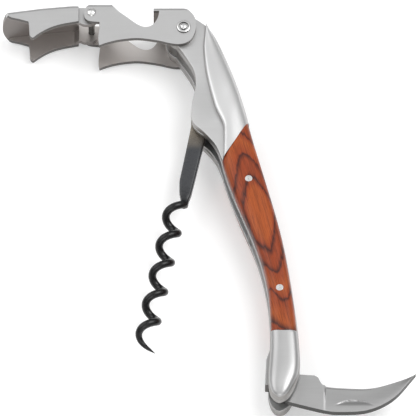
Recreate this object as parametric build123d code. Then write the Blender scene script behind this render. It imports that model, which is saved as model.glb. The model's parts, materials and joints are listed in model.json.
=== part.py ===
from build123d import *
import math
import os

# Double-hinged lever corkscrew, lying on its side and half unfolded. Millimetres.
# Everything is drawn from the lever's pivot on the handle: X to the right, Y up along the
# handle, and Z through its thickness with 0 in its middle. "near" is the +Z side, "far" the -Z.
# The finished pieces are then moved so that the origin is under the middle of the whole tool.

# Stack through the thickness, as heights from the middle plane
GAP = 2.2              # inner faces of the two liners
LINER_TOP = 3.4        # outer faces of the liners
PAD_TOP = 5.4          # flat recess of the front bolsters, where the lever folds over them
ARM_INNER = 5.5        # inside of the lever's side walls
ARM_OUTER = 6.8        # outside of the lever's side walls
EAR_INNER = 4.1        # the outer arm's ears are set in, to nest inside the inner arm
EAR_OUTER = 5.4
DOME_TOP = 7.2         # crown of the wood and of the raised bolster
BLADE_TOP = 0.95       # half the thickness of the knife
SHANK_TOP = 1.5        # half the thickness of the worm's shank
SPRING_TOP = 2.1       # half the width of the springs and spacers

RUNNING = 0.05         # radial clearance of a pin in a hole that turns on it
SHEET = 1.3            # thickness of the lever's bent sheet

# Axes that things turn about
LEVER_PIVOT = (0, 0)
KNUCKLE = (-25.1, 4.7)
WORM_PIVOT = (4.6, -26.5)
KNIFE_PIVOT = (27.0, -108.5)
FRONT_PIN = (17.6, -47.8)
REAR_PIN = (25.9, -81.7)
KNIFE_SPRING_PIN = (19.0, -62.0)
HEAD_RIVETS = [(6.6, -8.0), (8.6, -15.2)]
CENTRE_RIVET = (21.6, -57.0)

# Pins, rivets and washers
LEVER_PIN_R = 1.3
KNUCKLE_PIN_R = 0.85
WORM_PIN_R = 1.2
KNIFE_PIN_R = 1.2
SCALE_PIN_R = 1.0
SMALL_RIVET_R = 0.8
COLLAR_R = 2.2         # raised ring round the lever's pivot
COLLAR_TOP = 7.2
LEVER_HEAD = (1.6, 0.5)     # radius and height of a domed rivet head
KNUCKLE_HEAD = (1.3, 0.6)
WORM_WASHER_R = 2.4
KNIFE_WASHER_R = 2.8
PLAY = 0.05            # gap between flat faces that turn on each other

# Handle outline
BACK = [(7.0, 0.6), (9.5, -3.7), (13.6, -14.7), (16.5, -24.4), (18.6, -33.2), (22.9, -49.4), (26.9, -66.0),
        (29.8, -84.8), (31.2, -99.9), (31.1, -106.5)]
TAIL = [(31.1, -106.5), (29.7, -110.5), (27.8, -113.6), (25.7, -114.7)]
TAIL_BELLY = [(25.7, -114.7), (24.0, -113.5), (23.0, -110.9), (22.8, -107.5)]
BELLY = [(22.8, -107.5), (23.3, -97.0), (22.5, -80.9), (19.6, -68.4), (14.2, -53.8), (11.0, -44.0), (8.7, -36.3),
         (5.5, -32.2)]
BULGE = [(5.5, -32.2), (2.9, -29.6), (2.1, -27.0), (2.4, -22.6), (3.3, -17.2), (2.9, -13.2), (1.2, -9.6),
         (-2.07, -4.44)]
HEAD = [(-2.07, -4.44), (-4.6, 1.68), (2.45, 4.24)]     # on a circle of radius 4.9

# Raised edge of the front bolster, from the head's top down to the wood
POCKET_STEP = [(6.1, 1.8), (5.75, -1.5), (5.45, -4.0), (5.4, -7.0), (6.2, -14.8), (8.4, -24.4), (10.6, -30.0),
               (10.9, -34.0), (10.7, -41.6)]
FRONT_SEAM = [(18.4, -28.5), (10.3, -41.4)]
REAR_SEAM_Y = -94.5
REAR_SEAM_DIP = 0.4
WOOD_INSET = 0.3

EDGE_INSET = 0.12      # how far the bolsters stand back from the liner's edge
WOOD_ROUNDING = 2.6    # radii along the outer edges
BOLSTER_ROUNDING = 2.2
ON_EDGE = 0.05         # an edge this near to a joint's line lies on it

# Inner lever arm: side wall, and the two places where a web joins the walls
INNER_END = [(-22.9, 1.6), (-25.0, 1.8), (-26.5, 2.4), (-27.1, 4.2), (-26.6, 6.2), (-25.2, 7.5)]
INNER_NOTCH = [(-20.9, 7.5), (-19.4, 6.8), (-18.2, 5.5), (-15.5, 3.2), (-12.6, 0.85), (-10.7, 0.05), (-9.1, 0.3),
               (-7.6, 1.8), (-6.75, 4.3), (-6.7, 6.4)]
INNER_LOWER = [(-1.2, 6.4), (0.1, 6.1), (1.8, 4.9), (2.9, 3.3), (3.4, 1.1), (3.3, -0.7), (2.85, -2.3), (1.75, -4.15),
               (0.15, -5.15), (-1.5, -5.4), (-3.7, -5.1), (-6.4, -4.4), (-9.6, -3.8), (-12.3, -3.5), (-15.5, -3.7),
               (-18.2, -4.15), (-20.9, -4.95), (-22.9, -5.8)]
INNER_STEP = [(-22.9, -5.8), (-23.2, -4.2), (-23.1, -1.9), (-22.9, 1.6)]
BEND_R = 1.2          # outer radius where the sheet of both arms is bent
KNUCKLE_WEB = (-23.0, -19.4)
LIFTER_WEB = (-8.2, -0.6)
LIFTER_WEB_TOP = 6.4
KNUCKLE_WEB_TOP = 7.5

# Outer lever arm: side wall down to its rim tooth, and the ears that turn on the knuckle
OUTER_TOP = [(-47.7, 5.0), (-38.7, 6.3), (-30.6, 7.1), (-28.6, 7.1)]
OUTER_LOWER = [(-28.6, 1.9), (-30.6, 1.5), (-33.0, 1.0), (-35.6, 0.15), (-38.3, -1.3), (-40.5, -3.0)]
OUTER_STEP = [(-40.5, -3.0), (-41.2, -3.3), (-41.7, -2.8), (-41.9, -1.9)]
NOSE_LOWER = [(-42.1, 1.3), (-42.3, 1.75), (-45.0, 2.6), (-46.8, 3.0), (-47.7, 3.5)]
NOSE_BULGE = 1.6
EAR_RIM = [(168, 3.9), (190, 4.0), (212, 4.0), (232, 3.8), (250, 3.35), (270, 3.0), (292, 2.75), (315, 2.4),
           (340, 2.3), (20, 2.3), (60, 2.3), (100, 2.3), (135, 2.5)]    # direction about the knuckle, and radius
JOGGLE = (-29.8, -28.5)    # where the side walls bend inwards to the ears

# Worm
COIL_LEAN = 11.2       # degrees from the handle's long direction
COIL_TURNS = 4.85
COIL_PITCH = 9.3
COIL_TOP = (-1.79, -51.3)
COIL_R = 2.12          # radius of the wire's centre line
WIRE_R = 1.08
POINT_LENGTH = 3.6
POINT_R = 0.12
TANG_R = 2.6
SHANK = [(2.2, -27.0), (-1.15, -45.4), (-0.9, -49.0), (-0.6, -51.6), (1.2, -52.2), (1.9, -49.6), (5.7, -31.8),
         (6.9, -27.6)]

# Knife
HEEL_R = 3.5
HEEL_SWEEP = (50, 262)     # degrees of the tang's round heel, anticlockwise
TANG_TOP = [(31.2, -105.1), (35.2, -105.4), (36.6, -107.2), (37.5, -108.4)]
KNIFE_EDGE = [(37.5, -108.4), (42.4, -108.9), (50.6, -108.9), (58.8, -106.4), (62.5, -104.8)]
KNIFE_SPINE = [(62.5, -104.8), (56.5, -112.2), (49.5, -116.0), (41.3, -116.6), (33.1, -114.9), (27.9, -113.4)]
NAIL_NICK = [(40.3, -115.5), (46.0, -112.9), (51.7, -114.1)]
NAIL_NICK_SAG = (46.3, -114.2)
NICK_DEPTH = 0.4

# Springs and spacers between the liners
WORM_SPRING = [(16.0, -47.8), (13.7, -36.0), (12.4, -27.6), (7.4, -27.4), (7.4, -24.6), (9.4, -21.8), (14.2, -21.8),
               (15.8, -28.0), (17.6, -36.0), (19.4, -46.6)]
WORM_SPRING_ROOT_R = 2.2
KNIFE_SPRING = [(17.7, -61.4), (20.2, -69.3), (22.8, -81.0), (23.5, -90.0), (23.6, -97.0), (22.3, -101.0),
                (21.9, -108.9), (23.4, -108.9), (23.5, -101.5), (24.9, -96.0), (24.7, -90.0), (24.2, -81.0),
                (21.7, -69.3), (20.3, -61.4)]
KNIFE_SPRING_ROOT_R = 1.6
CENTRE_SPACER = [(18.5, -52.0), (23.0, -52.0), (24.8, -59.4), (22.4, -60.0), (20.6, -58.6), (17.9, -57.4)]
HEAD_SPACER_END = -19.4


def near_and_far(solid):
    """The same solid on the near side, and mirrored through the middle plane."""
    return solid, mirror(solid, about=Plane.XY)


def both_sides(solid):
    """One body made of a near half and its mirror image."""
    near, far = near_and_far(solid)
    return near + far


def plate(face, low, high):
    """A flat outline given thickness between two heights."""
    return extrude(Pos(0, 0, low) * face, amount=high - low)


def polygon(points):
    """A straight-sided outline."""
    return make_face(Polyline(*points, close=True))


def disc(centre, radius):
    """A round outline about a point."""
    return Pos(*centre) * Circle(radius)


def rod(centre, radius, low, high):
    """A plain round pin between two heights."""
    return plate(disc(centre, radius), low, high)


def head_dome(centre, radius, height, low):
    """A rivet's low domed head, a cap of a sphere standing on a height."""
    ball_r = (radius**2 + height**2) / (2 * height)
    ball = Pos(centre[0], centre[1], low + height - ball_r) * Sphere(ball_r)
    return ball & rod(centre, radius, low, low + height)


def turned(point, centre, degrees):
    """A point turned about a centre."""
    angle = math.radians(degrees)
    dx, dy = point[0] - centre[0], point[1] - centre[1]
    return (
        centre[0] + dx * math.cos(angle) - dy * math.sin(angle),
        centre[1] + dx * math.sin(angle) + dy * math.cos(angle),
    )


# ---------------------------------------------------------------- handle

def drawn_in(points, amount):
    """A clockwise loop of points, each moved inwards square to the line between its neighbours."""
    moved = []
    for before, point, after in zip(points[-1:] + points[:-1], points, points[1:] + points[:1]):
        along = (Vector(*after) - Vector(*before)).normalized()
        moved.append((point[0] + amount * along.Y, point[1] - amount * along.X))
    return moved


def handle_outline(inset=0.0):
    """The handle's whole outline: curved back, rounded tail, hollowed belly, bulge and round head."""
    runs = [BACK, TAIL, TAIL_BELLY, BELLY, BULGE, HEAD, [HEAD[-1], BACK[0]]]
    loop = drawn_in([point for run in runs for point in run[:-1]], inset)
    curves = []
    start = 0
    for run, curve in zip(runs, [Spline, Spline, Spline, Spline, Spline, ThreePointArc, Line]):
        end = start + len(run) - 1
        curves.append(curve(*(loop + loop[:1])[start:end + 1]))
        start = end
    return make_face(curves)


def drilled(solid, holes):
    """A solid with round holes right through it: each hole is a centre and a radius."""
    for centre, radius in holes:
        solid -= rod(centre, radius, -2 * DOME_TOP, 2 * DOME_TOP)
    return solid


def liner():
    """One of the two steel side plates that carry every pin."""
    holes = [(LEVER_PIVOT, LEVER_PIN_R), (WORM_PIVOT, WORM_PIN_R), (KNIFE_PIVOT, KNIFE_PIN_R),
             (FRONT_PIN, SCALE_PIN_R), (REAR_PIN, SCALE_PIN_R),
             (KNIFE_SPRING_PIN, SMALL_RIVET_R), (CENTRE_RIVET, SMALL_RIVET_R)]
    holes += [(centre, SMALL_RIVET_R) for centre in HEAD_RIVETS]
    return drilled(plate(handle_outline(), GAP, LINER_TOP), holes)


def above_front_seam():
    """Everything on the lever's side of the slanting joint between bolster and wood."""
    (x1, y1), (x2, y2) = FRONT_SEAM
    slope = (y2 - y1) / (x2 - x1)
    left, right = -30, 60
    return polygon([(left, y1 + slope * (left - x1)), (right, y1 + slope * (right - x1)), (right, 40), (left, 40)])


def rear_seam():
    """The faintly curved joint between wood and rear bolster."""
    return ThreePointArc((20, REAR_SEAM_Y), (27, REAR_SEAM_Y - REAR_SEAM_DIP), (34, REAR_SEAM_Y))


def below_rear_seam():
    """Everything on the tail's side of the rear seam."""
    seam = rear_seam()
    return make_face([seam, Polyline(seam @ 1, (34, -120), (20, -120), seam @ 0)])


def raised_side():
    """Everything on the back side of the front bolster's raised edge."""
    return make_face([Spline(*POCKET_STEP), Polyline(POCKET_STEP[-1], (40, -45), (40, 12), POCKET_STEP[0])])


def edges_off(face, curve):
    """The outer edges of a flat top face that don't run along a curve drawn at height 0."""
    line = Pos(0, 0, face.center().Z) * curve
    return ShapeList(edge for edge in face.outer_wire().edges() if line.distance_to(edge @ 0.5) > ON_EDGE)


def front_bolster():
    """A bolster with a flat recess on the belly side and a smooth raised back."""
    flank = handle_outline(EDGE_INSET) & above_front_seam()
    crown = plate(flank & raised_side(), LINER_TOP, DOME_TOP)
    top = crown.faces().sort_by(Axis.Z)[-1]
    back_edge = edges_off(top, Spline(*POCKET_STEP)).sort_by(SortBy.LENGTH)[-1]
    crown = fillet(back_edge, BOLSTER_ROUNDING)
    return drilled(plate(flank, LINER_TOP, PAD_TOP) + crown, [(LEVER_PIVOT, LEVER_PIN_R)])


def scale():
    """A wood scale between the two bolsters, a little inside the liner's edge, with rounded flanks."""
    panel = plate(handle_outline(WOOD_INSET) - above_front_seam() - below_rear_seam(), LINER_TOP, DOME_TOP)
    top = panel.faces().sort_by(Axis.Z)[-1]
    flanks = [edge for edge in edges_off(top, Line(*FRONT_SEAM)) if edge in edges_off(top, rear_seam())]
    return drilled(fillet(flanks, WOOD_ROUNDING), [(FRONT_PIN, SCALE_PIN_R), (REAR_PIN, SCALE_PIN_R)])


def rear_bolster():
    """The rounded end cap of the handle."""
    return plate(handle_outline(EDGE_INSET) & below_rear_seam(), LINER_TOP, DOME_TOP)


def head_spacer():
    """The block that holds the liners apart round the lever's pivot."""
    block = handle_outline(WOOD_INSET) & polygon([(-20, HEAD_SPACER_END), (40, HEAD_SPACER_END), (40, 20), (-20, 20)])
    holes = [(LEVER_PIVOT, LEVER_PIN_R)] + [(centre, SMALL_RIVET_R) for centre in HEAD_RIVETS]
    return drilled(plate(block, -GAP, GAP), holes)


def centre_spacer():
    """The block that holds the liners apart between the two springs."""
    return drilled(plate(polygon(CENTRE_SPACER), -GAP, GAP), [(CENTRE_RIVET, SMALL_RIVET_R)])


# ---------------------------------------------------------------- pins

def washer(centre, hole_r, outer_r, low, high):
    """A flat ring between two heights."""
    return rod(centre, outer_r, low, high) - rod(centre, hole_r, low, high)


def domed_rivet(centre, radius, top, head):
    """A rivet right through the tool with a low domed head on each side."""
    head_r, head_h = head
    caps = both_sides(head_dome(centre, head_r, head_h, top))
    return rod(centre, radius, -top, top) + caps


# ---------------------------------------------------------------- lever

def inner_arm():
    """The inner lever arm: two side walls, a web at the knuckle and the cap-lifter web."""
    outline = make_face([
        Spline(*INNER_END),
        Line(INNER_END[-1], INNER_NOTCH[0]),
        Spline(*INNER_NOTCH),
        Line(INNER_NOTCH[-1], INNER_LOWER[0]),
        Spline(*INNER_LOWER),
        Spline(*INNER_STEP),
    ])
    wall = drilled(plate(outline, ARM_INNER, ARM_OUTER),
                   [(LEVER_PIVOT, LEVER_PIN_R + RUNNING), (KNUCKLE, KNUCKLE_PIN_R)])
    webs = [web(KNUCKLE_WEB, KNUCKLE_WEB_TOP), web(LIFTER_WEB, LIFTER_WEB_TOP)]
    tops = [Line(*[(x, top) for x in span]) for span, top in ((KNUCKLE_WEB, KNUCKLE_WEB_TOP),
                                                             (LIFTER_WEB, LIFTER_WEB_TOP))]
    return bends_rounded(both_sides(wall) + webs, tops)


def bends_rounded(arm, tops):
    """The arm with a radius where a web that lies on one of these lines is bent down into a side wall."""
    bends = []
    for edge in arm.edges():
        start, middle, end = edge @ 0, edge @ 0.5, edge @ 1
        outermost = abs(abs(start.Z) - ARM_OUTER) < ON_EDGE and abs(start.Z - end.Z) < ON_EDGE
        on_top = any(top.distance_to(Vector(middle.X, middle.Y, 0)) < ON_EDGE for top in tops)
        if outermost and on_top and abs(start.X - end.X) > BEND_R / 2:
            bends.append(edge)
    return fillet(bends, BEND_R)


def web(span, top):
    """A strip of the bent sheet that joins the two side walls, between two places along the arm."""
    left, right = span
    strip = polygon([(left, top - SHEET), (right, top - SHEET), (right, top), (left, top)])
    return plate(strip, -ARM_OUTER, ARM_OUTER)


def outer_arm():
    """The outer lever arm: a channel open below, with a rounded nose, a rim tooth and set-in ears."""
    outline = make_face([
        Polyline(*OUTER_TOP, OUTER_LOWER[0]),
        Spline(*OUTER_LOWER),
        Spline(*OUTER_STEP),
        Polyline(OUTER_STEP[-1], *NOSE_LOWER, OUTER_TOP[0]),
    ])
    wall = plate(outline, ARM_INNER, ARM_OUTER)
    ears = both_sides(wall + outer_ear())
    arm = bends_rounded(ears + outer_roof(), [Polyline(*OUTER_TOP)])
    return drilled(arm, [(KNUCKLE, KNUCKLE_PIN_R + RUNNING)])


def outer_ear():
    """One ear: a plate round the knuckle, and the bend that joins it to the side wall."""
    rim = [turned((KNUCKLE[0] + radius, KNUCKLE[1]), KNUCKLE, angle) for angle, radius in EAR_RIM]
    neck = polygon([(-31.0, 6.9), (-28.4, 6.9), (-25.0, 6.8), (-27.0, 2.0), (-31.0, 2.2)])
    outline = make_face(Spline(*rim, periodic=True)) + neck
    bend_start, bend_end = JOGGLE
    section = Plane.XZ * polygon([(-31.0, ARM_INNER), (bend_start, ARM_INNER), (bend_end, EAR_INNER),
                                  (-20.0, EAR_INNER), (-20.0, EAR_OUTER), (bend_end, EAR_OUTER),
                                  (bend_start, ARM_OUTER), (-31.0, ARM_OUTER)])
    sheet = extrude(section, amount=20, both=True)
    return sheet & plate(outline, EAR_INNER, ARM_OUTER)


def outer_roof():
    """The channel's sloping web with its half-round nose."""
    lower = [(x, y - SHEET) for x, y in reversed(OUTER_TOP)]
    (nose_x, nose_y), (_, second_y) = OUTER_TOP[0], OUTER_TOP[1]
    tip = [(nose_x - 3, nose_y - 0.45), (nose_x - 3, nose_y - 0.45 - SHEET)]
    strip = plate(polygon(OUTER_TOP + lower + list(reversed(tip))), -ARM_OUTER, ARM_OUTER)
    plan = make_face([
        ThreePointArc((nose_x, ARM_OUTER), (nose_x - NOSE_BULGE, 0), (nose_x, -ARM_OUTER)),
        Polyline((nose_x, -ARM_OUTER), (-20, -ARM_OUTER), (-20, ARM_OUTER), (nose_x, ARM_OUTER)),
    ])
    return strip & extrude(Plane.XZ * plan, amount=20, both=True)


# ---------------------------------------------------------------- worm

def worm():
    """The worm, forged in one piece: round tang, flat shank, right-handed coil and sharp point."""
    flat = drilled(plate(polygon(SHANK) + disc(WORM_PIVOT, TANG_R), -SHANK_TOP, SHANK_TOP),
                   [(WORM_PIVOT, WORM_PIN_R + RUNNING)])
    height = COIL_TURNS * COIL_PITCH
    lean = math.radians(COIL_LEAN)
    foot = (COIL_TOP[0] - height * math.sin(lean), COIL_TOP[1] - height * math.cos(lean), 0)
    frame = Plane(origin=foot, x_dir=(math.cos(lean), -math.sin(lean), 0), z_dir=(math.sin(lean), math.cos(lean), 0))
    path = frame * Rot(0, 0, -360 * COIL_TURNS) * Helix(COIL_PITCH, height, COIL_R)
    start = Plane(origin=path @ 0, z_dir=path % 0)
    coil = sweep(start * Circle(WIRE_R), path=path, is_frenet=True)
    point_axis = Plane(origin=path @ 0, z_dir=-(path % 0))
    point = point_axis * Cone(WIRE_R, POINT_R, POINT_LENGTH, align=(Align.CENTER, Align.CENTER, Align.MIN))
    return flat + coil + point


# ---------------------------------------------------------------- knife

def knife():
    """The hooked foil knife with its round heel and a nail nick."""
    start, end = HEEL_SWEEP
    heel = [turned((KNIFE_PIVOT[0] + HEEL_R, KNIFE_PIVOT[1]), KNIFE_PIVOT, angle)
            for angle in (start, (start + end) / 2, end)]
    outline = make_face([
        ThreePointArc(*heel),
        Line(heel[-1], KNIFE_SPINE[-1]),
        Spline(*KNIFE_SPINE),
        Spline(*KNIFE_EDGE),
        Polyline(*reversed(TANG_TOP), heel[0]),
    ])
    blade = drilled(plate(outline, -BLADE_TOP, BLADE_TOP), [(KNIFE_PIVOT, KNIFE_PIN_R + RUNNING)])
    nick = make_face([
        ThreePointArc(*NAIL_NICK),
        ThreePointArc(NAIL_NICK[-1], NAIL_NICK_SAG, NAIL_NICK[0]),
    ])
    return blade - plate(nick, BLADE_TOP - NICK_DEPTH, BLADE_TOP)


# ---------------------------------------------------------------- springs

def worm_spring():
    """The spring leaf whose nose rests against the worm's tang."""
    leaf = polygon(WORM_SPRING) + disc(FRONT_PIN, WORM_SPRING_ROOT_R)
    return drilled(plate(leaf, -SPRING_TOP, SPRING_TOP), [(FRONT_PIN, SCALE_PIN_R + RUNNING)])


def knife_spring():
    """The spring leaf that runs down the belly to the knife's heel and ends square."""
    leaf = polygon(KNIFE_SPRING) + disc(KNIFE_SPRING_PIN, KNIFE_SPRING_ROOT_R)
    return drilled(plate(leaf, -SPRING_TOP, SPRING_TOP), [(KNIFE_SPRING_PIN, SMALL_RIVET_R + RUNNING)])


# ---------------------------------------------------------------- the whole tool

def paired_pieces():
    """Every piece that the tool has once on the near side and once on the far side."""
    return {
        "liner": liner(),
        "front_bolster": front_bolster(),
        "wood_scale": scale(),
        "rear_bolster": rear_bolster(),
        "pivot_collar": washer(LEVER_PIVOT, LEVER_PIN_R, COLLAR_R, ARM_OUTER + PLAY, COLLAR_TOP),
        "worm_washer": washer(WORM_PIVOT, WORM_PIN_R, WORM_WASHER_R, SHANK_TOP + PLAY, GAP),
        "knife_washer": washer(KNIFE_PIVOT, KNIFE_PIN_R, KNIFE_WASHER_R, BLADE_TOP + PLAY, GAP),
    }


def single_pieces():
    """Every piece that the tool has once."""
    return {
        "head_spacer": head_spacer(),
        "centre_spacer": centre_spacer(),
        "lever_pivot_rivet": domed_rivet(LEVER_PIVOT, LEVER_PIN_R, COLLAR_TOP, LEVER_HEAD),
        "knuckle_rivet": domed_rivet(KNUCKLE, KNUCKLE_PIN_R, ARM_OUTER, KNUCKLE_HEAD),
        "front_scale_pin": rod(FRONT_PIN, SCALE_PIN_R, -DOME_TOP, DOME_TOP),
        "rear_scale_pin": rod(REAR_PIN, SCALE_PIN_R, -DOME_TOP, DOME_TOP),
        "worm_pivot_pin": rod(WORM_PIVOT, WORM_PIN_R, -LINER_TOP, LINER_TOP),
        "knife_pivot_pin": rod(KNIFE_PIVOT, KNIFE_PIN_R, -LINER_TOP, LINER_TOP),
        "knife_spring_pin": rod(KNIFE_SPRING_PIN, SMALL_RIVET_R, -LINER_TOP, LINER_TOP),
        "centre_spacer_rivet": rod(CENTRE_RIVET, SMALL_RIVET_R, -LINER_TOP, LINER_TOP),
        "head_spacer_rivets": Compound([rod(c, SMALL_RIVET_R, -LINER_TOP, LINER_TOP).solid() for c in HEAD_RIVETS]),
        "inner_lever_arm": inner_arm(),
        "outer_lever_arm": outer_arm(),
        "corkscrew_worm": worm(),
        "foil_knife": knife(),
        "worm_spring": worm_spring(),
        "knife_spring": knife_spring(),
    }


def all_pieces():
    """Every node by name, in its place about the lever's pivot."""
    pieces = single_pieces()
    for name, piece in paired_pieces().items():
        pieces["near_" + name], pieces["far_" + name] = near_and_far(piece)
    return pieces


def bottom_centre(pieces):
    """The point under the middle of the whole tool."""
    box = Compound([solid for piece in pieces.values() for solid in piece.solids()]).bounding_box()
    return Vector((box.min.X + box.max.X) / 2, (box.min.Y + box.max.Y) / 2, box.min.Z)


def main():
    os.makedirs("parts", exist_ok=True)
    pieces = all_pieces()
    origin = bottom_centre(pieces)
    print("origin from the lever's pivot:", origin)
    for name, piece in pieces.items():
        export_step(Pos(-origin) * piece, os.path.join("parts", name + ".step"))


main()
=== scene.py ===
import json
import math

import bmesh
import bpy
from bpy.props import FloatProperty, FloatVectorProperty, PointerProperty
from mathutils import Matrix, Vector


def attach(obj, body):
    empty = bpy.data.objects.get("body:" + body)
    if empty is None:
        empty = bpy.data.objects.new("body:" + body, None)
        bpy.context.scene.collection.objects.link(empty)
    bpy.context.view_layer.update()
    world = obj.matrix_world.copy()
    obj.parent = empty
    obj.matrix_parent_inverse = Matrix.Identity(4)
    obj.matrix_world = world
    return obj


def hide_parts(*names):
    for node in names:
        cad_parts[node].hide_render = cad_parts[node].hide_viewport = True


bl_info = {
    "name": "Lever Corkscrew",
    "version": (1, 0, 0),
    "blender": (4, 5, 0),
    "location": "View3D > Sidebar > Corkscrew",
    "description": "Builds the wood, bolsters, worm, knife and lever of a folding lever corkscrew",
    "category": "Add Mesh",
}

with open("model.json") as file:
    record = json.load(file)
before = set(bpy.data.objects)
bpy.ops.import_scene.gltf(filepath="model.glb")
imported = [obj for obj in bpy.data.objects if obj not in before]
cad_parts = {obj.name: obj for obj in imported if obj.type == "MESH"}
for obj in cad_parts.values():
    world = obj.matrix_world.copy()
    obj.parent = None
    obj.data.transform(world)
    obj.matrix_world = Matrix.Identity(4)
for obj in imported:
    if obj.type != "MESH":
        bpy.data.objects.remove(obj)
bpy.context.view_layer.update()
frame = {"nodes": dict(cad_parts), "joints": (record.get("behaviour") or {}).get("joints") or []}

MM = 0.001
JOINTS = {joint["name"]: Vector(joint["pos_m"]) for joint in frame["joints"]}
PIVOT = JOINTS["lever_pivot"]      # outlines are drawn in millimetres from this axis
NEAR_FAR = (("near", 1), ("far", -1))
WELD_GAP = 2e-6                    # metres

# Heights from the middle plane, in millimetres
LINER_TOP = 3.4
PAD_TOP = 5.4
# Faces higher than this get the painted highlight of the front bolster's raised crown
CROWN_LIGHT_FROM = PAD_TOP + 0.15
CHANNEL_HALF = 5.7                 # just past the inner face of a lever arm's side wall
CROWN_TOP = 7.2

# The handle's back and belly, from the head down to the tail's point
BACK = [(2.45, 4.24), (4.9, 2.5), (7.0, 0.6), (9.5, -3.7), (13.6, -14.7), (16.5, -24.4), (18.6, -33.2),
        (22.9, -49.4), (26.9, -66.0), (29.8, -84.8), (31.2, -99.9), (31.1, -106.5), (29.7, -110.5),
        (27.8, -113.6), (25.7, -114.7)]
BELLY = [(5.5, -32.2), (8.7, -36.3), (11.0, -44.0), (14.2, -53.8), (19.6, -68.4), (22.5, -80.9),
         (23.3, -97.0), (22.8, -107.5), (23.0, -110.9), (24.0, -113.5), (25.7, -114.7)]

# The front bolster: the bulge of its flat recess, and the soft step up to its raised back
BULGE = [(-4.9, 0.0), (-3.75, -3.15), (-2.07, -4.44), (1.2, -9.6), (2.9, -13.2), (3.3, -17.2), (2.4, -22.6),
         (2.1, -27.0), (2.9, -29.6), (5.5, -32.2), (8.7, -36.3), (10.6, -41.2)]
STEP = [(6.1, 1.8), (5.75, -1.5), (5.45, -4.0), (5.4, -7.0), (6.2, -14.8), (8.4, -24.4), (10.6, -30.0),
        (10.9, -34.0), (10.7, -40.9)]
HEAD_R = 4.9
PAD_ROUNDING = 0.3
FRONT_SEAM = ((10.75, -40.9), (17.75, -29.55))     # belly end and back end
REAR_SEAM_Y = -94.5
REAR_SEAM_DIP = 0.4
WOOD_INSET = 0.3                   # the wood stands this far inside the liners' edges
WOOD_GAP = 0.12
TAIL_TIP = (25.7, -114.6)
CAP_CROWN = 2.7


# ---------------------------------------------------------------- curves in the plane

def spline(points, count):
    """Evenly spaced points along a smooth curve through some points."""
    padded = [Vector(points[0]) * 2 - Vector(points[1])] + [Vector(p) for p in points]
    padded.append(Vector(points[-1]) * 2 - Vector(points[-2]))
    fine = []
    for a, b, c, d in zip(padded, padded[1:], padded[2:], padded[3:]):
        for step in range(16):
            t = step / 16
            fine.append(0.5 * (2 * b + (c - a) * t + (2 * a - 5 * b + 4 * c - d) * t**2
                               + (3 * b - a - 3 * c + d) * t**3))
    fine.append(Vector(points[-1]))
    return respaced(fine, count)


def respaced(points, count):
    """The same line with a number of points an equal distance apart."""
    lengths = [0.0]
    for a, b in zip(points, points[1:]):
        lengths.append(lengths[-1] + (b - a).length)
    out, j = [], 0
    for i in range(count):
        wanted = lengths[-1] * i / (count - 1)
        while j < len(points) - 2 and lengths[j + 1] < wanted:
            j += 1
        share = (wanted - lengths[j]) / max(lengths[j + 1] - lengths[j], 1e-9)
        out.append(points[j].lerp(points[j + 1], min(share, 1.0)))
    return out


def arc(centre, radius, start, end, count):
    """Points round part of a circle, from one direction in degrees to another."""
    angles = [math.radians(start + (end - start) * k / (count - 1)) for k in range(count)]
    return [Vector((centre[0] + radius * math.cos(a), centre[1] + radius * math.sin(a))) for a in angles]


def between(points, start, end, count):
    """The stretch of a smooth line from the point nearest start to the point nearest end."""
    line = spline(points, 400)
    i = min(range(len(line)), key=lambda k: (line[k] - Vector(start)).length)
    j = min(range(len(line)), key=lambda k: (line[k] - Vector(end)).length)
    stretch = [Vector(start)] + line[min(i, j) + 1:max(i, j)] + [Vector(end)]
    return respaced(stretch, count)


def smooth(low, high, value):
    """0 below low, 1 above high, and an S-shaped rise between."""
    t = min(max((value - low) / (high - low), 0.0), 1.0)
    return t * t * (3 - 2 * t)


def rounded_off(share, flatness, turn=2.2):
    """1 in the middle of a rounded top and 0 at its edge. A larger flatness keeps more of it level."""
    return (1 - abs(share) ** flatness) ** (1 / turn)


# ---------------------------------------------------------------- meshes

def to_row(x, y, z):
    """A point drawn from the lever's pivot, in the row frame."""
    return PIVOT + Vector((x, y, z)) * MM


def circle(centre, radius, z, count):
    """A ring of points round an upright axis, in the row frame."""
    angles = [2 * math.pi * k / count for k in range(count)]
    return [to_row(centre[0] + radius * math.cos(a), centre[1] + radius * math.sin(a), z) for a in angles]


def finished(name, bm, body, material, replaced, sharp=40.0):
    """Makes an object of a mesh, shades it smooth except at sharp edges, and parents it to its body's empty.
    """
    bmesh.ops.recalc_face_normals(bm, faces=bm.faces)
    mesh = bpy.data.meshes.new(name)
    bm.to_mesh(mesh)
    bm.free()
    piece = bpy.data.objects.new(name, mesh)
    bpy.context.scene.collection.objects.link(piece)
    mesh.shade_smooth()
    mesh.set_sharp_from_angle(angle=math.radians(sharp))
    mesh.materials.append(material)
    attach(piece, body)
    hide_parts(*replaced)
    return piece


def crowned(bm, left, right, low, profile, side):
    """A closed shell between two lines. It is flat underneath, and profile(along, across) gives how far each
    point of its top is moved down the handle and how high it stands."""
    rows = []
    across = 28
    for i, (a, b) in enumerate(zip(left, right)):
        row = []
        for j in range(across + 1):
            s = 0.5 - 0.5 * math.cos(math.pi * j / across)
            p = a.lerp(b, s)
            down, z = profile(i / (len(left) - 1), 2 * s - 1)
            row.append(bm.verts.new(to_row(p.x, p.y - down, side * z)))
        rows.append(row)
    underside = []
    for row in rows:
        underside.append([bm.verts.new((v.co.x, v.co.y, PIVOT.z + side * low * MM)) for v in row])
    closed_grids(bm, rows, underside)


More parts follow.
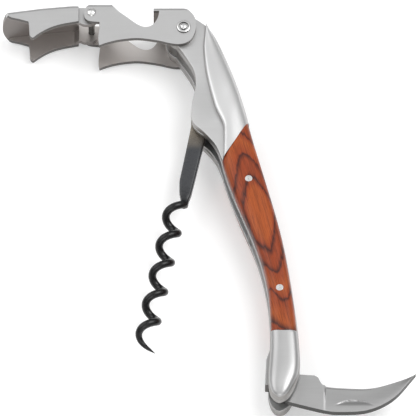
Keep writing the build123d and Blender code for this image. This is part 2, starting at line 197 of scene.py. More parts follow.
def closed_grids(bm, upper, lower):
    """Faces over two matching grids of vertices and round their shared border."""
    border = []
    for grid in (upper, lower):
        for r0, r1 in zip(grid, grid[1:]):
            for k in range(len(r0) - 1):
                bm.faces.new((r0[k], r0[k + 1], r1[k + 1], r1[k]))
        border.append([r[0] for r in grid] + grid[-1][1:] + [r[-1] for r in reversed(grid[:-1])]
                      + list(reversed(grid[0][1:-1])))
    count = len(border[0])
    for k in range(count):
        n = (k + 1) % count
        bm.faces.new((border[0][k], border[0][n], border[1][n], border[1][k]))
    bmesh.ops.remove_doubles(bm, verts=bm.verts, dist=1e-7)


def tubed(bm, rings):
    """A skin over a row of rings of points, closed at both ends."""
    loops = [[bm.verts.new(p) for p in ring] for ring in rings]
    for r0, r1 in zip(loops, loops[1:]):
        for k in range(len(r0)):
            n = (k + 1) % len(r0)
            bm.faces.new((r0[k], r0[n], r1[n], r1[k]))
    bm.faces.new(loops[0])
    bm.faces.new(loops[-1])


def plate(bm, loop, low, high, side, softness):
    """A flat plate with an outline, its outer edge rounded off."""
    bottom = [bm.verts.new(to_row(p.x, p.y, side * low)) for p in loop]
    top = [bm.verts.new(to_row(p.x, p.y, side * high)) for p in loop]
    bm.faces.new(bottom)
    lid = bm.faces.new(top)
    for k in range(len(loop)):
        n = (k + 1) % len(loop)
        bm.faces.new((bottom[k], bottom[n], top[n], top[k]))
    bmesh.ops.recalc_face_normals(bm, faces=bm.faces)
    bmesh.ops.bevel(bm, geom=list(lid.edges), offset=softness * MM, segments=3, profile=0.5, affect="EDGES",
                    clamp_overlap=True)


def softened(node, material, width):
    """Cleans a CAD node's flats, softens its sharp edges as on tumbled steel, and gives it its finish."""
    piece = frame["nodes"][node]
    weld = piece.modifiers.new("weld", "WELD")
    weld.merge_threshold = WELD_GAP
    clean = piece.modifiers.new("clean", "DECIMATE")
    clean.decimate_type = "DISSOLVE"
    clean.angle_limit = math.radians(0.5)
    bevel = piece.modifiers.new("edges", "BEVEL")
    bevel.limit_method = "ANGLE"
    bevel.angle_limit = math.radians(30)
    bevel.width = width
    bevel.segments = 2
    piece.data.shade_smooth()
    normals = piece.modifiers.new("normals", "WEIGHTED_NORMAL")
    normals.weight = 100
    normals.keep_sharp = True
    piece.data.materials.clear()
    piece.data.materials.append(material)


# ---------------------------------------------------------------- materials

def new_material(name):
    """A new material, with its node tree, its shader and the piece's own coordinates."""
    material = bpy.data.materials.new(name)
    material.use_nodes = True
    tree = material.node_tree
    shader = tree.nodes["Principled BSDF"]
    coords = tree.nodes.new("ShaderNodeTexCoord").outputs["Object"]
    return material, tree, shader, coords


def add(tree, kind, inputs=None, **settings):
    """A node with its settings, and its inputs set to values or joined to sockets."""
    node = tree.nodes.new(kind)
    for key, value in settings.items():
        setattr(node, key, value)
    for key, value in (inputs or {}).items():
        if isinstance(value, bpy.types.NodeSocket):
            tree.links.new(value, node.inputs[key])
        else:
            node.inputs[key].default_value = value
    return node


def ramp(tree, source, stops):
    """A colour ramp over a value: each stop is a place and a colour."""
    node = add(tree, "ShaderNodeValToRGB", {"Fac": source})
    elements = node.color_ramp.elements
    while len(elements) < len(stops):
        elements.new(0.5)
    for element, (place, colour) in zip(elements, stops):
        element.position = place
        element.color = (*colour, 1.0)
    return node.outputs["Color"]


def grey(value):
    """A colour with no hue."""
    return (value, value, value)


def part_of(tree, vector, axis):
    """One part of a place or direction."""
    return add(tree, "ShaderNodeSeparateXYZ", {"Vector": vector}).outputs[axis]


def stretched(tree, coords, scale, turn=(0, 0, 0), shift=(0, 0, 0)):
    """Coordinates scaled, turned and moved."""
    return add(tree, "ShaderNodeMapping", {"Vector": coords, "Scale": scale, "Rotation": turn,
                                           "Location": shift}).outputs["Vector"]


def noise_of(tree, vector, scale, detail=4.0, rough=0.55, distortion=0.0):
    """A noise texture's value."""
    return add(tree, "ShaderNodeTexNoise", {"Vector": vector, "Scale": scale, "Detail": detail,
                                            "Roughness": rough, "Distortion": distortion}).outputs["Fac"]


def bumped(tree, shader, height, strength, distance):
    """Joins a height to the shader as fine relief."""
    node = add(tree, "ShaderNodeBump", {"Height": height, "Strength": strength, "Distance": distance})
    tree.links.new(node.outputs["Normal"], shader.inputs["Normal"])


def maths(tree, operation, first, second=0.0):
    """The result of one sum or comparison."""
    return add(tree, "ShaderNodeMath", {0: first, 1: second}, operation=operation).outputs[0]


def mixed_colour(tree, share, first, second, blend="MIX"):
    """Two colours mixed."""
    node = add(tree, "ShaderNodeMix", {0: share, 6: first, 7: second}, data_type="RGBA", blend_type=blend)
    return node.outputs[2]


def waver(tree, vector, scale, detail, amount):
    """Noise that pushes coordinates to and fro by up to half of an amount."""
    cloud = add(tree, "ShaderNodeTexNoise", {"Vector": stretched(tree, vector, scale), "Scale": 1.0,
                                             "Detail": detail}).outputs["Color"]
    centred = add(tree, "ShaderNodeVectorMath", {0: cloud, 1: grey(0.5)}, operation="SUBTRACT").outputs[0]
    return add(tree, "ShaderNodeVectorMath", {0: centred, 1: amount}, operation="MULTIPLY").outputs[0]


def brushed_steel(name, tone, rough, grain_turn, grain=1.0, edges=(0.12, 0.115, 0.11), inside=None,
                  crown_light=None):
    """Steel with a fine brushed grain along one direction and faint cloudiness. edges is a dark colour
    painted on its sideways faces as painted shade. If they are given, inside holds the colours of painted
    shade on the walls and web inside a bent channel, and the tone given last is painted on raised faces as a
    painted highlight."""
    material, tree, shader, coords = new_material(name)
    grain_lines = stretched(tree, coords, (120, 5200, 5200), (0, 0, math.radians(grain_turn)))
    lines = noise_of(tree, grain_lines, 1.0, 3.0)
    clouds = noise_of(tree, coords, 90.0, 3.0)
    cloudy = ramp(tree, clouds, [(0.3, grey(tone * 0.95)), (0.7, grey(tone))])
    lined = ramp(tree, lines, [(0.3, grey(tone * 0.88)), (0.7, grey(tone * 1.04))])
    colour = mixed_colour(tree, 0.3 * grain, cloudy, lined)
    # Painted highlight: faces above the pad are painted in a lighter tone, where the crown catches the light
    if crown_light:
        off_middle = maths(tree, "SUBTRACT", part_of(tree, coords, "Z"), PIVOT.z)
        raised = maths(tree, "GREATER_THAN", maths(tree, "ABSOLUTE", off_middle), CROWN_LIGHT_FROM * MM)
        colour = mixed_colour(tree, raised, colour, (*grey(crown_light), 1.0))
    # Painted shade: sideways faces, except those that face back, are painted in the dark edges colour
    normal = add(tree, "ShaderNodeTexCoord").outputs["Normal"]
    facing_up = part_of(tree, normal, "Z")
    sideways = maths(tree, "LESS_THAN", maths(tree, "ABSOLUTE", facing_up), 0.35)
    not_back = maths(tree, "LESS_THAN", part_of(tree, normal, "Y"), 0.5)
    painted_side_shade = maths(tree, "MULTIPLY", sideways, not_back)
    colour = mixed_colour(tree, painted_side_shade, colour, (*edges, 1.0))
    # Painted shade: inside the channel, the walls and the web's underside are painted in the inside tones
    if inside:
        within = channel_inside(tree, coords, facing_up)
        channel_shade_mask = maths(tree, "MULTIPLY", within, not_back)
        painted_channel_shade = mixed_colour(tree, sideways, (*inside[0], 1.0), (*inside[1], 1.0))
        colour = mixed_colour(tree, channel_shade_mask, colour, painted_channel_shade)
    tree.links.new(colour, shader.inputs["Base Color"])
    tree.links.new(ramp(tree, lines, [(0.25, grey(rough * 0.9)), (0.75, grey(rough * 1.1))]),
                   shader.inputs["Roughness"])
    shader.inputs["Metallic"].default_value = 1.0
    bumped(tree, shader, lines, 0.06 * grain, 0.00002)
    return material


def channel_inside(tree, coords, facing_up):
    """1 between the two walls of a bent channel, except on faces that look outwards, and 0 elsewhere. This is
    where the channel's painted shade goes.
    """
    off_middle = maths(tree, "SUBTRACT", part_of(tree, coords, "Z"), PIVOT.z)
    within = maths(tree, "LESS_THAN", maths(tree, "ABSOLUTE", off_middle), CHANNEL_HALF * MM)
    outwards = maths(tree, "MULTIPLY", maths(tree, "SIGN", off_middle), facing_up)
    return maths(tree, "MULTIPLY", within, maths(tree, "LESS_THAN", outwards, 0.3))


def polished_steel():
    """Rivet steel: bright on its heads, painted shade darkening its sides, and faintly hazed by handling."""
    material, tree, shader, coords = new_material("polished_steel")
    haze = noise_of(tree, coords, 700.0, 4.0)
    facing_up = part_of(tree, add(tree, "ShaderNodeTexCoord").outputs["Normal"], "Z")
    sideways = maths(tree, "LESS_THAN", maths(tree, "ABSOLUTE", facing_up), 0.55)
    bright = ramp(tree, haze, [(0.3, grey(0.66)), (0.75, (0.76, 0.76, 0.75))])
    # Painted shade: the rivets' sideways faces are painted near black
    colour = mixed_colour(tree, sideways, bright, (0.10, 0.10, 0.095, 1.0))
    tree.links.new(colour, shader.inputs["Base Color"])
    tree.links.new(ramp(tree, haze, [(0.3, grey(0.26)), (0.8, grey(0.34))]), shader.inputs["Roughness"])
    shader.inputs["Metallic"].default_value = 1.0
    bumped(tree, shader, haze, 0.05, 0.00003)
    return material


FIGURE_CENTRE = (20.6, -58.5)      # middle of the wood's oval figure
FIGURE_TURN = -13.8                # the wood's grain follows the handle
FIGURE_WIDE = 3.9                  # half-width and half-length of its first ring
FIGURE_LONG = 12.0
FIGURE_SQUARE = 1.6                # 2 would make the rings true ovals; less makes them pointed


def rosewood(sizes):
    """Oiled rosewood: a long oval figure with thin dark rings, streaks along the grain and fine pores."""
    material, tree, shader, coords = new_material("rosewood")
    centre = to_row(*FIGURE_CENTRE, 0)
    local = stretched(tree, coords, (1, 1, 1), (0, 0, 0), (-centre.x, -centre.y, 0))
    along_grain = stretched(tree, local, (1, 1, 0), (0, 0, math.radians(FIGURE_TURN)))
    scaled = stretched(tree, along_grain, (1 / (FIGURE_WIDE * MM), 1 / (FIGURE_LONG * MM), 0))
    sway = waver(tree, along_grain, (110, 60, 0), 2.0, (0.75, 0.5, 0.0))
    fuzz = waver(tree, along_grain, (1700, 230, 0), 4.0, (0.42, 0.10, 0.0))
    bent = add(tree, "ShaderNodeVectorMath", {0: scaled, 1: sway}, operation="ADD").outputs[0]
    bent = add(tree, "ShaderNodeVectorMath", {0: bent, 1: fuzz}, operation="ADD").outputs[0]
    sides = add(tree, "ShaderNodeSeparateXYZ", {"Vector": bent})
    reach = [maths(tree, "POWER", maths(tree, "ABSOLUTE", sides.outputs[axis]), FIGURE_SQUARE)
             for axis in ("X", "Y")]
    rings = maths(tree, "DIVIDE", maths(tree, "POWER", maths(tree, "ADD", *reach), 1 / FIGURE_SQUARE), 4.0)
    light, mid, dark = sizes.light_wood, sizes.mid_wood, sizes.dark_wood
    figure = ramp(tree, rings, [(0.0, light), (0.18, light), (0.225, mid), (0.25, dark), (0.285, mid),
                                (0.345, mid), (0.385, dark), (0.40, mid), (0.50, light), (0.545, mid),
                                (0.56, dark), (0.58, mid), (0.74, light), (0.80, dark), (0.82, mid),
                                (1.0, mid)])
    fibres = noise_of(tree, stretched(tree, along_grain, (7000, 260, 0)), 1.0, 4.0, 0.65)
    streaks = noise_of(tree, stretched(tree, along_grain, (1500, 45, 0)), 1.0, 3.0, 0.6)
    dashes = ramp(tree, fibres, [(0.32, grey(0.25)), (0.48, grey(0.88)), (0.7, grey(1.0))])
    bands = ramp(tree, streaks, [(0.28, grey(0.35)), (0.5, grey(0.9)), (0.8, grey(1.15))])
    colour = mixed_colour(tree, 0.8, figure, dashes, "MULTIPLY")
    colour = mixed_colour(tree, 0.75, colour, bands, "MULTIPLY")
    tree.links.new(colour, shader.inputs["Base Color"])
    tree.links.new(ramp(tree, fibres, [(0.2, grey(0.48)), (0.8, grey(0.36))]), shader.inputs["Roughness"])
    shader.inputs["Specular IOR Level"].default_value = 0.25
    shader.inputs["Coat Weight"].default_value = 0.10
    shader.inputs["Coat Roughness"].default_value = 0.22
    bumped(tree, shader, fibres, 0.14, 0.00005)
    return material


def black_coating(sizes):
    """Baked black coating over steel: soft gloss, fine orange peel, and worn bare where the shank rubs."""
    material, tree, shader, coords = new_material("black_coating")
    peel = noise_of(tree, coords, 900.0, 3.0)
    blotch = noise_of(tree, coords, 260.0, 4.0)
    place = part_of(tree, coords, "Y")
    pivot_y = JOINTS["worm_pivot"].y
    near_pin = add(tree, "ShaderNodeMapRange", {"Value": place, "From Min": pivot_y - 9 * MM,
                                                "From Max": pivot_y - 3 * MM}).outputs["Result"]
    wear = maths(tree, "MULTIPLY", near_pin, blotch)
    shank = add(tree, "ShaderNodeMapRange", {"Value": place, "From Min": pivot_y - 27 * MM,
                                             "From Max": pivot_y - 20 * MM}).outputs["Result"]
    coat = ramp(tree, shank, [(0.0, sizes.coating), (1.0, (0.040, 0.042, 0.046))])
    tree.links.new(mixed_colour(tree, wear, coat, (0.42, 0.36, 0.28, 1.0)), shader.inputs["Base Color"])
    tree.links.new(wear, shader.inputs["Metallic"])
    tree.links.new(ramp(tree, peel, [(0.3, grey(0.24)), (0.8, grey(0.34))]), shader.inputs["Roughness"])
    shader.inputs["Specular IOR Level"].default_value = 0.4
    bumped(tree, shader, peel, 0.12, 0.00004)
    return material


def floor_paint():
    """A matt pale surface with the faintest mottle."""
    material, tree, shader, coords = new_material("pale_floor")
    mottle = noise_of(tree, coords, 14.0, 2.0)
    paint = ramp(tree, mottle, [(0.3, grey(0.80)), (0.7, grey(0.82))])
    tree.links.new(paint, shader.inputs["Base Color"])
    tree.links.new(paint, shader.inputs["Emission Color"])
    shader.inputs["Emission Strength"].default_value = 0.3
    shader.inputs["Roughness"].default_value = 0.9
    return material


MATERIALS = {}


def material_of(name):
    """A finish by name, made the first time that it is asked for."""
    sizes = bpy.context.scene.corkscrew
    makers = {
        # In these finishes edges is painted shade: a dark colour painted on sideways faces
        "satin_steel": lambda: brushed_steel("satin_steel", sizes.steel_tone, sizes.steel_roughness, 80,
                                             edges=(0.34, 0.33, 0.32)),
        # The lever arms' inside tones are painted shade: the channel walls' inner faces, and darker the web's
        # underside
        "arm_steel": lambda: brushed_steel("arm_steel", sizes.steel_tone, sizes.steel_roughness, 5, 0.6,
                                           inside=((0.60, 0.57, 0.55), (0.24, 0.22, 0.21))),
        # The front bolster's raised crown is painted 1.22 times lighter, as a painted highlight
        "bolster_steel": lambda: brushed_steel("bolster_steel", sizes.steel_tone, sizes.steel_roughness, 80,
                                               edges=(0.34, 0.33, 0.32), crown_light=sizes.steel_tone * 1.22),
        # The end cap's steel is a darker copy of the satin steel: painted shade that dims the cap
        "shaded_cap_steel": lambda: brushed_steel("shaded_cap_steel", sizes.steel_tone * 0.86, sizes.steel_roughness, 80,
                                           edges=(0.3, 0.29, 0.28)),
        "blade_steel": lambda: brushed_steel("blade_steel", 0.39, 0.36, 86, 1.4, edges=(0.07, 0.07, 0.068)),
        "spring_steel": lambda: brushed_steel("spring_steel", 0.42, 0.36, 75),
        "inner_steel": lambda: brushed_steel("inner_steel", 0.5, 0.32, 20),
        "polished_steel": polished_steel,
        "rosewood": lambda: rosewood(sizes),
        "black_coating": lambda: black_coating(sizes),
        "pale_floor": floor_paint,
    }
    if name not in MATERIALS:
        MATERIALS[name] = makers[name]()
    return MATERIALS[name]


# ---------------------------------------------------------------- settings

class CorkscrewSettings(bpy.types.PropertyGroup):
    """Sizes and colours of the corkscrew's visible finish."""
    wood_crown: FloatProperty(
        name="Wood crown", description="How far the wood's middle stands above its edge",
        default=2.4 * MM, min=0.5 * MM, max=3.5 * MM, precision=5, unit="LENGTH")
    edge_softness: FloatProperty(
        name="Edge softness", description="Width of the softened edges of the lever's sheet",
        default=0.22 * MM, min=0.02 * MM, max=0.4 * MM, precision=5, unit="LENGTH")
    wire_radius: FloatProperty(
        name="Worm wire radius", description="Radius of the worm's wire",
        default=1.07 * MM, min=0.8 * MM, max=1.3 * MM, precision=5, unit="LENGTH")
    steel_tone: FloatProperty(
        name="Steel tone", description="Brightness of the satin steel",
        default=0.54, min=0.3, max=0.9, subtype="FACTOR")
    steel_roughness: FloatProperty(
        name="Steel roughness", description="How dull the satin steel is",
        default=0.40, min=0.1, max=0.7, subtype="FACTOR")
    light_wood: FloatVectorProperty(
        name="Light wood", description="Palest grain of the rosewood",
        default=(0.40, 0.083, 0.016), min=0.0, max=1.0, subtype="COLOR")
    mid_wood: FloatVectorProperty(
        name="Middle wood", description="Main colour of the rosewood",
        default=(0.30, 0.050, 0.012), min=0.0, max=1.0, subtype="COLOR")
    dark_wood: FloatVectorProperty(
        name="Dark wood", description="Dark figure of the rosewood",
        default=(0.06, 0.012, 0.008), min=0.0, max=1.0, subtype="COLOR")
    coating: FloatVectorProperty(
        name="Coating", description="Colour of the worm's black coating",
        default=(0.004, 0.004, 0.0045), min=0.0, max=1.0, subtype="COLOR")


# ---------------------------------------------------------------- operators

class CORKSCREW_OT_wood_scales(bpy.types.Operator):
    """Builds the two crowned wood scales"""
    bl_idname = "corkscrew.wood_scales"
    bl_label = "Wood Scales"

    def execute(self, context):
        crown = context.scene.corkscrew.wood_crown / MM
        seam_left, seam_right = FRONT_SEAM
        inset = Vector((WOOD_INSET, 0))
        seam_y = REAR_SEAM_Y + WOOD_GAP
        left = [p + inset for p in between(BELLY, seam_left, (23.1, seam_y), 90)]
        right = [p - inset for p in between(BACK, seam_right, (30.6, seam_y), 90)]

        def profile(along, across):
            dip = REAR_SEAM_DIP * (1 - across**2) * smooth(0.9, 1.0, along)
            return dip, CROWN_TOP - crown + crown * rounded_off(across, 2.6)

        for name, side in NEAR_FAR:
            bm = bmesh.new()
            crowned(bm, left, right, LINER_TOP, profile, side)
            finished(name + "_scale_crowned", bm, "handle", material_of("rosewood"),
                     [name + "_wood_scale"])
        return {"FINISHED"}


class CORKSCREW_OT_bolsters(bpy.types.Operator):
    """Builds the front and rear bolsters with their soft crowns"""
    bl_idname = "corkscrew.bolsters"
    bl_label = "Bolsters"

    def execute(self, context):
        for name, side in NEAR_FAR:
            bm = bmesh.new()
            self.pad(bm, side)
            self.raised_back(bm, side)
            finished(name + "_front_bolster_crowned", bm, "handle",
                     material_of("bolster_steel"), [name + "_front_bolster"])
            bm = bmesh.new()
            self.tail_cap(bm, side)
            finished(name + "_rear_bolster_crowned", bm, "handle", material_of("shaded_cap_steel"),
                     [name + "_rear_bolster"])
        return {"FINISHED"}

    def pad(self, bm, side):
        """The flat recess that the folded lever lies on, with a small rounding along its edge."""
        head = arc((0, 0), HEAD_R, 60, 174, 20)
        belly = spline(BULGE, 80)
        seam_left, seam_right = FRONT_SEAM
        back = [p - Vector((0.5, 0)) for p in between(BACK, BACK[0], seam_right, 50)]
        loop = head + belly[1:] + [Vector(seam_left), Vector(seam_right)] + back[-2:0:-1]
        plate(bm, loop, LINER_TOP, PAD_TOP, side, PAD_ROUNDING)

    def raised_back(self, bm, side):
        """The smooth back, which drops to the recess in a soft step."""
        seam_left, seam_right = FRONT_SEAM
        left = between(STEP, STEP[0], seam_left, 90)
        right = between(BACK, (6.2, 1.4), seam_right, 90)

        def profile(along, across):
            height = CROWN_TOP - 0.9 * (1 - smooth(0.0, 0.6, along))
            back_fall = 1.4 * max((across + 0.4) / 1.4, 0.0) ** 2
            back_fall += 1.4 * (1 - rounded_off(max(across, 0.0), 4.0))
            step_fall = 1.1 * (1 - rounded_off(max(-across, 0.0), 9, 2.0))
            return 0.0, height - back_fall - step_fall

        crowned(bm, left, right, LINER_TOP, profile, side)

    def tail_cap(self, bm, side):
        """The end cap: domed across, and rounded off at its end like a thumb."""
        left = between(BELLY, (23.3, REAR_SEAM_Y), TAIL_TIP, 80)
        right = between(BACK, (30.6, REAR_SEAM_Y), TAIL_TIP, 80)

        def profile(along, across):
            dip = REAR_SEAM_DIP * (1 - across**2) * (1 - smooth(0.0, 0.12, along))
            crown = CAP_CROWN * rounded_off(max(along - 0.45, 0.0) / 0.55, 2.6, 2.0)
            return dip, CROWN_TOP - CAP_CROWN + crown * rounded_off(across, 3.4)

        crowned(bm, left, right, LINER_TOP, profile, side)


# The worm: the two sides of its flat shank from the tang down, then the coil
SHANK_LEFT = [(2.3, -26.5), (1.4, -31.6), (-0.1, -39.8), (-1.15, -45.4), (-1.15, -48.6), (-0.75, -50.9)]
SHANK_RIGHT = [(6.9, -26.5), (5.7, -31.8), (4.0, -39.8), (2.75, -45.6), (2.1, -48.6), (1.45, -50.4)]
SHANK_DEEP = 2.9
COIL_LEAN = math.radians(11.2)
COIL_TURNS = 4.85
COIL_PITCH = 9.3
COIL_TOP = (-1.79, -51.3)
COIL_R = 2.12
COIL_START = 0.035                 # turns left out where the shank runs into the coil
STEPS_PER_TURN = 36
WIRE_SIDES = 24
POINT_LONG = 3.0
WORM_PIVOT = (4.6, -26.5)


class CORKSCREW_OT_worm(bpy.types.Operator):
    """Builds the worm: round tang, flat shank that turns round, and a right-handed coil with a sharp point"""
    bl_idname = "corkscrew.worm"
    bl_label = "Worm"

    def execute(self, context):
        bm = bmesh.new()
        self.wire(bm, context.scene.corkscrew.wire_radius / MM)
        self.tang(bm)
        finished("worm_forged", bm, "worm", material_of("black_coating"), ["corkscrew_worm"])
        return {"FINISHED"}

    def helix(self, turn):
        """The wire's centre after some turns from the coil's top, in millimetres from the lever's pivot."""
        angle = 2 * math.pi * turn
        down = turn * COIL_PITCH
        u = COIL_R * math.cos(angle)
        return Vector((COIL_TOP[0] - down * math.sin(COIL_LEAN) + u * math.cos(COIL_LEAN),
                       COIL_TOP[1] - down * math.cos(COIL_LEAN) - u * math.sin(COIL_LEAN),
                       COIL_R * math.sin(angle)))

    def wire(self, bm, wire_radius):
        """One skin from the tang down the shank, along the coil and out to the point."""
        left, right = (respaced([Vector(p) for p in side], 44) for side in (SHANK_LEFT, SHANK_RIGHT))
        path = [((a + b) / 2).to_3d() for a, b in zip(left, right)]
        half_widths = [(b - a).length / 2 for a, b in zip(left, right)]
        flat_part = len(path)
        coil_steps = int((COIL_TURNS - COIL_START) * STEPS_PER_TURN)
        path += [self.helix(COIL_START + k / STEPS_PER_TURN) for k in range(coil_steps)]
        last = self.helix(COIL_TURNS)
        ahead = (last - self.helix(COIL_TURNS - 0.01)).normalized()
        path += [last + ahead * (POINT_LONG * k / 8) for k in range(9)]
        rings = []
        for i, centre in enumerate(path):
            before, after = path[max(i - 1, 0)], path[min(i + 1, len(path) - 1)]
            along = (after - before).normalized()
            across = Vector((along.y, -along.x, 0)).normalized()
            up = along.cross(across).normalized()
            round_share = smooth(flat_part - 3, flat_part + 4, i)
            flat_half = half_widths[min(i, flat_part - 1)]
            wide = flat_half * (1 - round_share) + wire_radius * round_share
            deep = SHANK_DEEP / 2 * (1 - round_share) + wire_radius * round_share
            squareness = 0.3 * (1 - round_share) + 1.0 * round_share
            to_end = min((len(path) - 1 - i) / 30, 1.0)
            taper = 0.06 + 0.94 * math.sin(math.pi / 2 * to_end)
            ring = []
            for k in range(WIRE_SIDES):
                angle = 2 * math.pi * k / WIRE_SIDES
                c, s = math.cos(angle), math.sin(angle)
                x = math.copysign(abs(c) ** squareness, c) * wide * taper
                z = math.copysign(abs(s) ** squareness, s) * deep * taper
                ring.append(to_row(*(centre + across * x + up * z)))
            rings.append(ring)
        tubed(bm, rings)

    def tang(self, bm):
        """The round end that turns on the pin."""
        outline = ((2.35, -1.5), (2.6, -1.25), (2.6, 1.25), (2.35, 1.5))
        tubed(bm, [circle(WORM_PIVOT, radius, z, 48) for radius, z in outline])


# The knife: from its round heel out to the hooked point, edge side above and spine below
KNIFE_PIVOT = (27.0, -108.5)
HEEL_R = 3.45
TANG_EDGE = [(31.2, -105.1), (35.2, -105.4), (36.2, -106.0), (36.7, -107.2), (37.3, -108.2),
             (38.0, -108.45)]
TANG_POINTS = 60
BLADE_POINTS = 190
TANG_SPINE = [(27.9, -113.4), (33.1, -114.9), (37.6, -116.1)]
BLADE_EDGE = [(38.0, -108.45), (42.4, -108.9), (50.6, -108.9), (58.8, -106.4), (62.45, -104.85)]
BLADE_SPINE = [(37.6, -116.1), (41.3, -116.6), (49.5, -116.0), (56.5, -112.2), (62.45, -104.85)]
BLADE_TOP = 0.95                   # half of the blade's thickness
TOOTH_DEEP = 0.07
BOSS_R = 2.2
BOSS_TOP = BLADE_TOP + 0.04
NICK_ENDS = ((40.3, -115.5), (51.7, -114.1))
NICK_CREST = (46.0, -112.9)
NICK_DEEP = 0.34


class CORKSCREW_OT_knife(bpy.types.Operator):
    """Builds the foil knife: round heel, flat tang, ground blade with a fine toothed edge and a nail nick"""
    bl_idname = "corkscrew.knife"
    bl_label = "Knife"

    def execute(self, context):
        bm = bmesh.new()
        heel_top = arc(KNIFE_PIVOT, HEEL_R, 180, 50, 20)
        heel_foot = arc(KNIFE_PIVOT, HEEL_R, 180, 262, 20)
        upper = respaced(heel_top + [Vector(p) for p in TANG_EDGE], TANG_POINTS)[:-1]
        upper += spline(BLADE_EDGE, BLADE_POINTS)
        lower = respaced(heel_foot + spline(TANG_SPINE, 20), TANG_POINTS)[:-1]
        lower += spline(BLADE_SPINE, BLADE_POINTS)
        teeth = range(TANG_POINTS + 3, TANG_POINTS + BLADE_POINTS - 10)
        across = 40
        near, far = [], []
        for i, (edge, back) in enumerate(zip(upper, lower)):
            tooth = TOOTH_DEEP * math.sin(i * 1.9) ** 2 if i in teeth else 0.0
            rows = ([], [])
            for j in range(across + 1):
                s = j / across
                p = edge.lerp(back, s)
                p.y -= tooth * (1 - s) ** 8
                half = self.half_thickness(s, i)
                rows[0].append(bm.verts.new(to_row(p.x, p.y, half - self.nick(p))))
                rows[1].append(bm.verts.new(to_row(p.x, p.y, -half)))
            near.append(rows[0])
            far.append(rows[1])
        closed_grids(bm, near, far)
        self.pin_ends(bm)
        finished("knife_ground", bm, "knife", material_of("blade_steel"), ["foil_knife"], 30.0)
        return {"FINISHED"}

    def half_thickness(self, s, i):
        """Full over the tang. Beyond its end the blade is ground thin, from its spine (s = 1) to its edge."""
        ground = 0.34 * (1 - smooth(0.0, 0.9, s)) + 0.40 * (1 - smooth(0.0, 0.09, s)) + 0.05
        return BLADE_TOP - ground * smooth(TANG_POINTS - 1, TANG_POINTS + 2, i)

    def nick(self, p):
        """How deep the crescent nail nick is cut at a point: most by its arched crest, none at its foot."""
        (x0, y0), (x1, y1) = NICK_ENDS
        half = math.hypot(x1 - x0, y1 - y0) / 2
        middle = Vector(((x0 + x1) / 2, (y0 + y1) / 2))
        rise = (Vector(NICK_CREST) - middle).length
        radius = (half**2 + rise**2) / (2 * rise)
        up = (Vector(NICK_CREST) - middle).normalized()
        centre = Vector(NICK_CREST) - up * radius
        inside = radius - (p - centre).length
        above = (p - middle).dot(up)
        if inside < 0 or above < 0:
            return 0.0
        return NICK_DEEP * smooth(0.0, 0.12, inside) * smooth(0.0, 1.0, above / rise)

    def pin_ends(self, bm):
        """The round boss of the heel round the pin."""
        tubed(bm, [circle(KNIFE_PIVOT, BOSS_R, z, 40) for z in (-BOSS_TOP, BOSS_TOP)])


# The lever's pivot, from the middle of its head outwards: radius, and height from the middle plane
PIVOT_HEAD = [(0.0, 7.62), (0.35, 7.6), (0.7, 7.5), (0.92, 7.36), (1.0, 7.2), (1.02, 6.9), (1.28, 6.88),
              (1.31, 7.15), (1.38, 7.24), (1.7, 7.24), (1.82, 7.16), (1.9, 6.95), (1.9, 6.83)]
PIVOT_STEM = (1.28, 6.8)


class CORKSCREW_OT_pivot(bpy.types.Operator):
    """Builds the lever's pivot rivet, with a groove round its domed middle on both sides"""
    bl_idname = "corkscrew.pivot"
    bl_label = "Lever Pivot"

    def execute(self, context):
        bm = bmesh.new()
        half = PIVOT_HEAD[1:] + [PIVOT_STEM]
        outline = half + [(r, -z) for r, z in reversed(half)]
        tubed(bm, [circle((0, 0), radius, z, 64) for radius, z in outline])
        finished("lever_pivot_turned", bm, "handle", material_of("polished_steel"),
                 ["lever_pivot_rivet", "near_pivot_collar", "far_pivot_collar"], 35.0)
        return {"FINISHED"}


# CAD pieces that keep their shape and are given softer edges and a finish
ARM_PIECES = ("inner_lever_arm", "outer_lever_arm")
DOMED_PIECES = ("knuckle_rivet", "front_scale_pin", "rear_scale_pin")
LINERS = ("near_liner", "far_liner")
SPRINGS = ("worm_spring", "knife_spring")
INNER_PIECES = ("near_worm_washer", "far_worm_washer", "near_knife_washer", "far_knife_washer",
                "head_spacer", "centre_spacer", "worm_pivot_pin", "knife_pivot_pin", "knife_spring_pin",
                "centre_spacer_rivet", "head_spacer_rivets")


class CORKSCREW_OT_steelwork(bpy.types.Operator):
    """Finishes the lever arms, liners, springs, washers, rivets and pins"""
    bl_idname = "corkscrew.steelwork"
    bl_label = "Lever and Inner Steel"

    def execute(self, context):
        softness = context.scene.corkscrew.edge_softness
        groups = ((ARM_PIECES, "arm_steel", softness),
                  (LINERS, "satin_steel", softness / 2),
                  (SPRINGS, "spring_steel", softness),
                  (INNER_PIECES, "inner_steel", softness / 2),
                  (DOMED_PIECES, "polished_steel", softness / 4))
        for names, finish, width in groups:
            for name in names:
                softened(name, material_of(finish), width)
        return {"FINISHED"}


# The studio, in metres and watts: each light has its place, width and power
LIGHTS = {"key_light": ((0.45, 0.1, 0.8), 0.6, 4.2),
          "fill_light": ((-0.6, 0.2, 0.6), 0.8, 2.5),
          "front_light": ((0.0, -0.9, 0.5), 0.5, 1.6)}
CAMERA_TARGET = (0.000015, -0.00222, 0.0145)
CAMERA_DISTANCE = 4.0
CAMERA_ELEVATION = math.radians(60)
CAMERA_LENS = 1282.3               # millimetres, on a 36 mm sensor


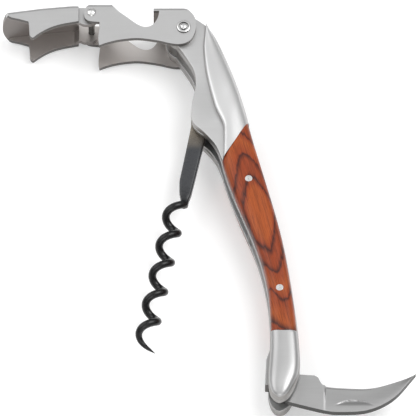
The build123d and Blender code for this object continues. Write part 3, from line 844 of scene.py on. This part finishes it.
class CORKSCREW_OT_studio(bpy.types.Operator):
    """Sets up the pale floor, the soft lights and the camera"""
    bl_idname = "corkscrew.studio"
    bl_label = "Studio"

    def execute(self, context):
        scene = context.scene
        bpy.ops.mesh.primitive_plane_add(size=6.0, location=(0, 0, 0))
        floor = context.object
        floor.name = "pale_floor"
        floor.data.materials.append(material_of("pale_floor"))
        scene.view_settings.view_transform = "Standard"
        self.sky(scene)
        for name, (place, size, power) in LIGHTS.items():
            self.lamp(name, place, size, power)
        self.camera(scene)
        return {"FINISHED"}

    def sky(self, scene):
        """A surround that is brightest high up, dimmer straight overhead, and dark towards the horizon."""
        world = bpy.data.worlds.new("white_surround")
        world.use_nodes = True
        tree = world.node_tree
        height = part_of(tree, add(tree, "ShaderNodeTexCoord").outputs["Generated"], "Z")
        tone = ramp(tree, height, [(0.0, grey(0.22)), (0.35, grey(0.42)), (0.82, grey(0.86)),
                                   (1.0, grey(0.66))])
        tree.links.new(tone, tree.nodes["Background"].inputs["Color"])
        scene.world = world

    def lamp(self, name, place, size, power):
        """A square soft light that faces the middle of the tool."""
        data = bpy.data.lights.new(name, "AREA")
        data.size = size
        data.energy = power
        light = bpy.data.objects.new(name, data)
        light.location = place
        light.rotation_euler = (Vector((0, 0, 0)) - Vector(place)).to_track_quat("-Z", "Y").to_euler()
        bpy.context.scene.collection.objects.link(light)

    def camera(self, scene):
        """A long lens from the front, 60 degrees above the floor."""
        data = bpy.data.cameras.new("camera")
        camera = bpy.data.objects.new("camera", data)
        scene.collection.objects.link(camera)
        back = Vector((0, -math.cos(CAMERA_ELEVATION), math.sin(CAMERA_ELEVATION)))
        camera.location = Vector(CAMERA_TARGET) + CAMERA_DISTANCE * back
        camera.rotation_euler = (math.radians(90) - CAMERA_ELEVATION, 0, 0)
        data.sensor_width = 36.0
        data.lens = CAMERA_LENS
        data.clip_end = 50.0
        scene.camera = camera


class CORKSCREW_PT_panel(bpy.types.Panel):
    """Lists the corkscrew's sizes and the steps that build it"""
    bl_label = "Lever Corkscrew"
    bl_space_type = "VIEW_3D"
    bl_region_type = "UI"
    bl_category = "Corkscrew"

    def draw(self, context):
        for setting in CorkscrewSettings.__annotations__:
            self.layout.prop(context.scene.corkscrew, setting)
        for step in STEPS:
            self.layout.operator(step.bl_idname)


STEPS = (CORKSCREW_OT_wood_scales, CORKSCREW_OT_bolsters, CORKSCREW_OT_worm, CORKSCREW_OT_knife,
         CORKSCREW_OT_pivot, CORKSCREW_OT_steelwork, CORKSCREW_OT_studio)
CLASSES = (CorkscrewSettings, *STEPS, CORKSCREW_PT_panel)


def register():
    for cls in CLASSES:
        bpy.utils.register_class(cls)
    bpy.types.Scene.corkscrew = PointerProperty(type=CorkscrewSettings)


def unregister():
    del bpy.types.Scene.corkscrew
    for cls in reversed(CLASSES):
        bpy.utils.unregister_class(cls)


def main():
    """Builds everything in order."""
    register()
    bpy.ops.corkscrew.wood_scales()
    bpy.ops.corkscrew.bolsters()
    bpy.ops.corkscrew.worm()
    bpy.ops.corkscrew.knife()
    bpy.ops.corkscrew.pivot()
    bpy.ops.corkscrew.steelwork()
    bpy.ops.corkscrew.studio()


if __name__ == "__main__":
    main()
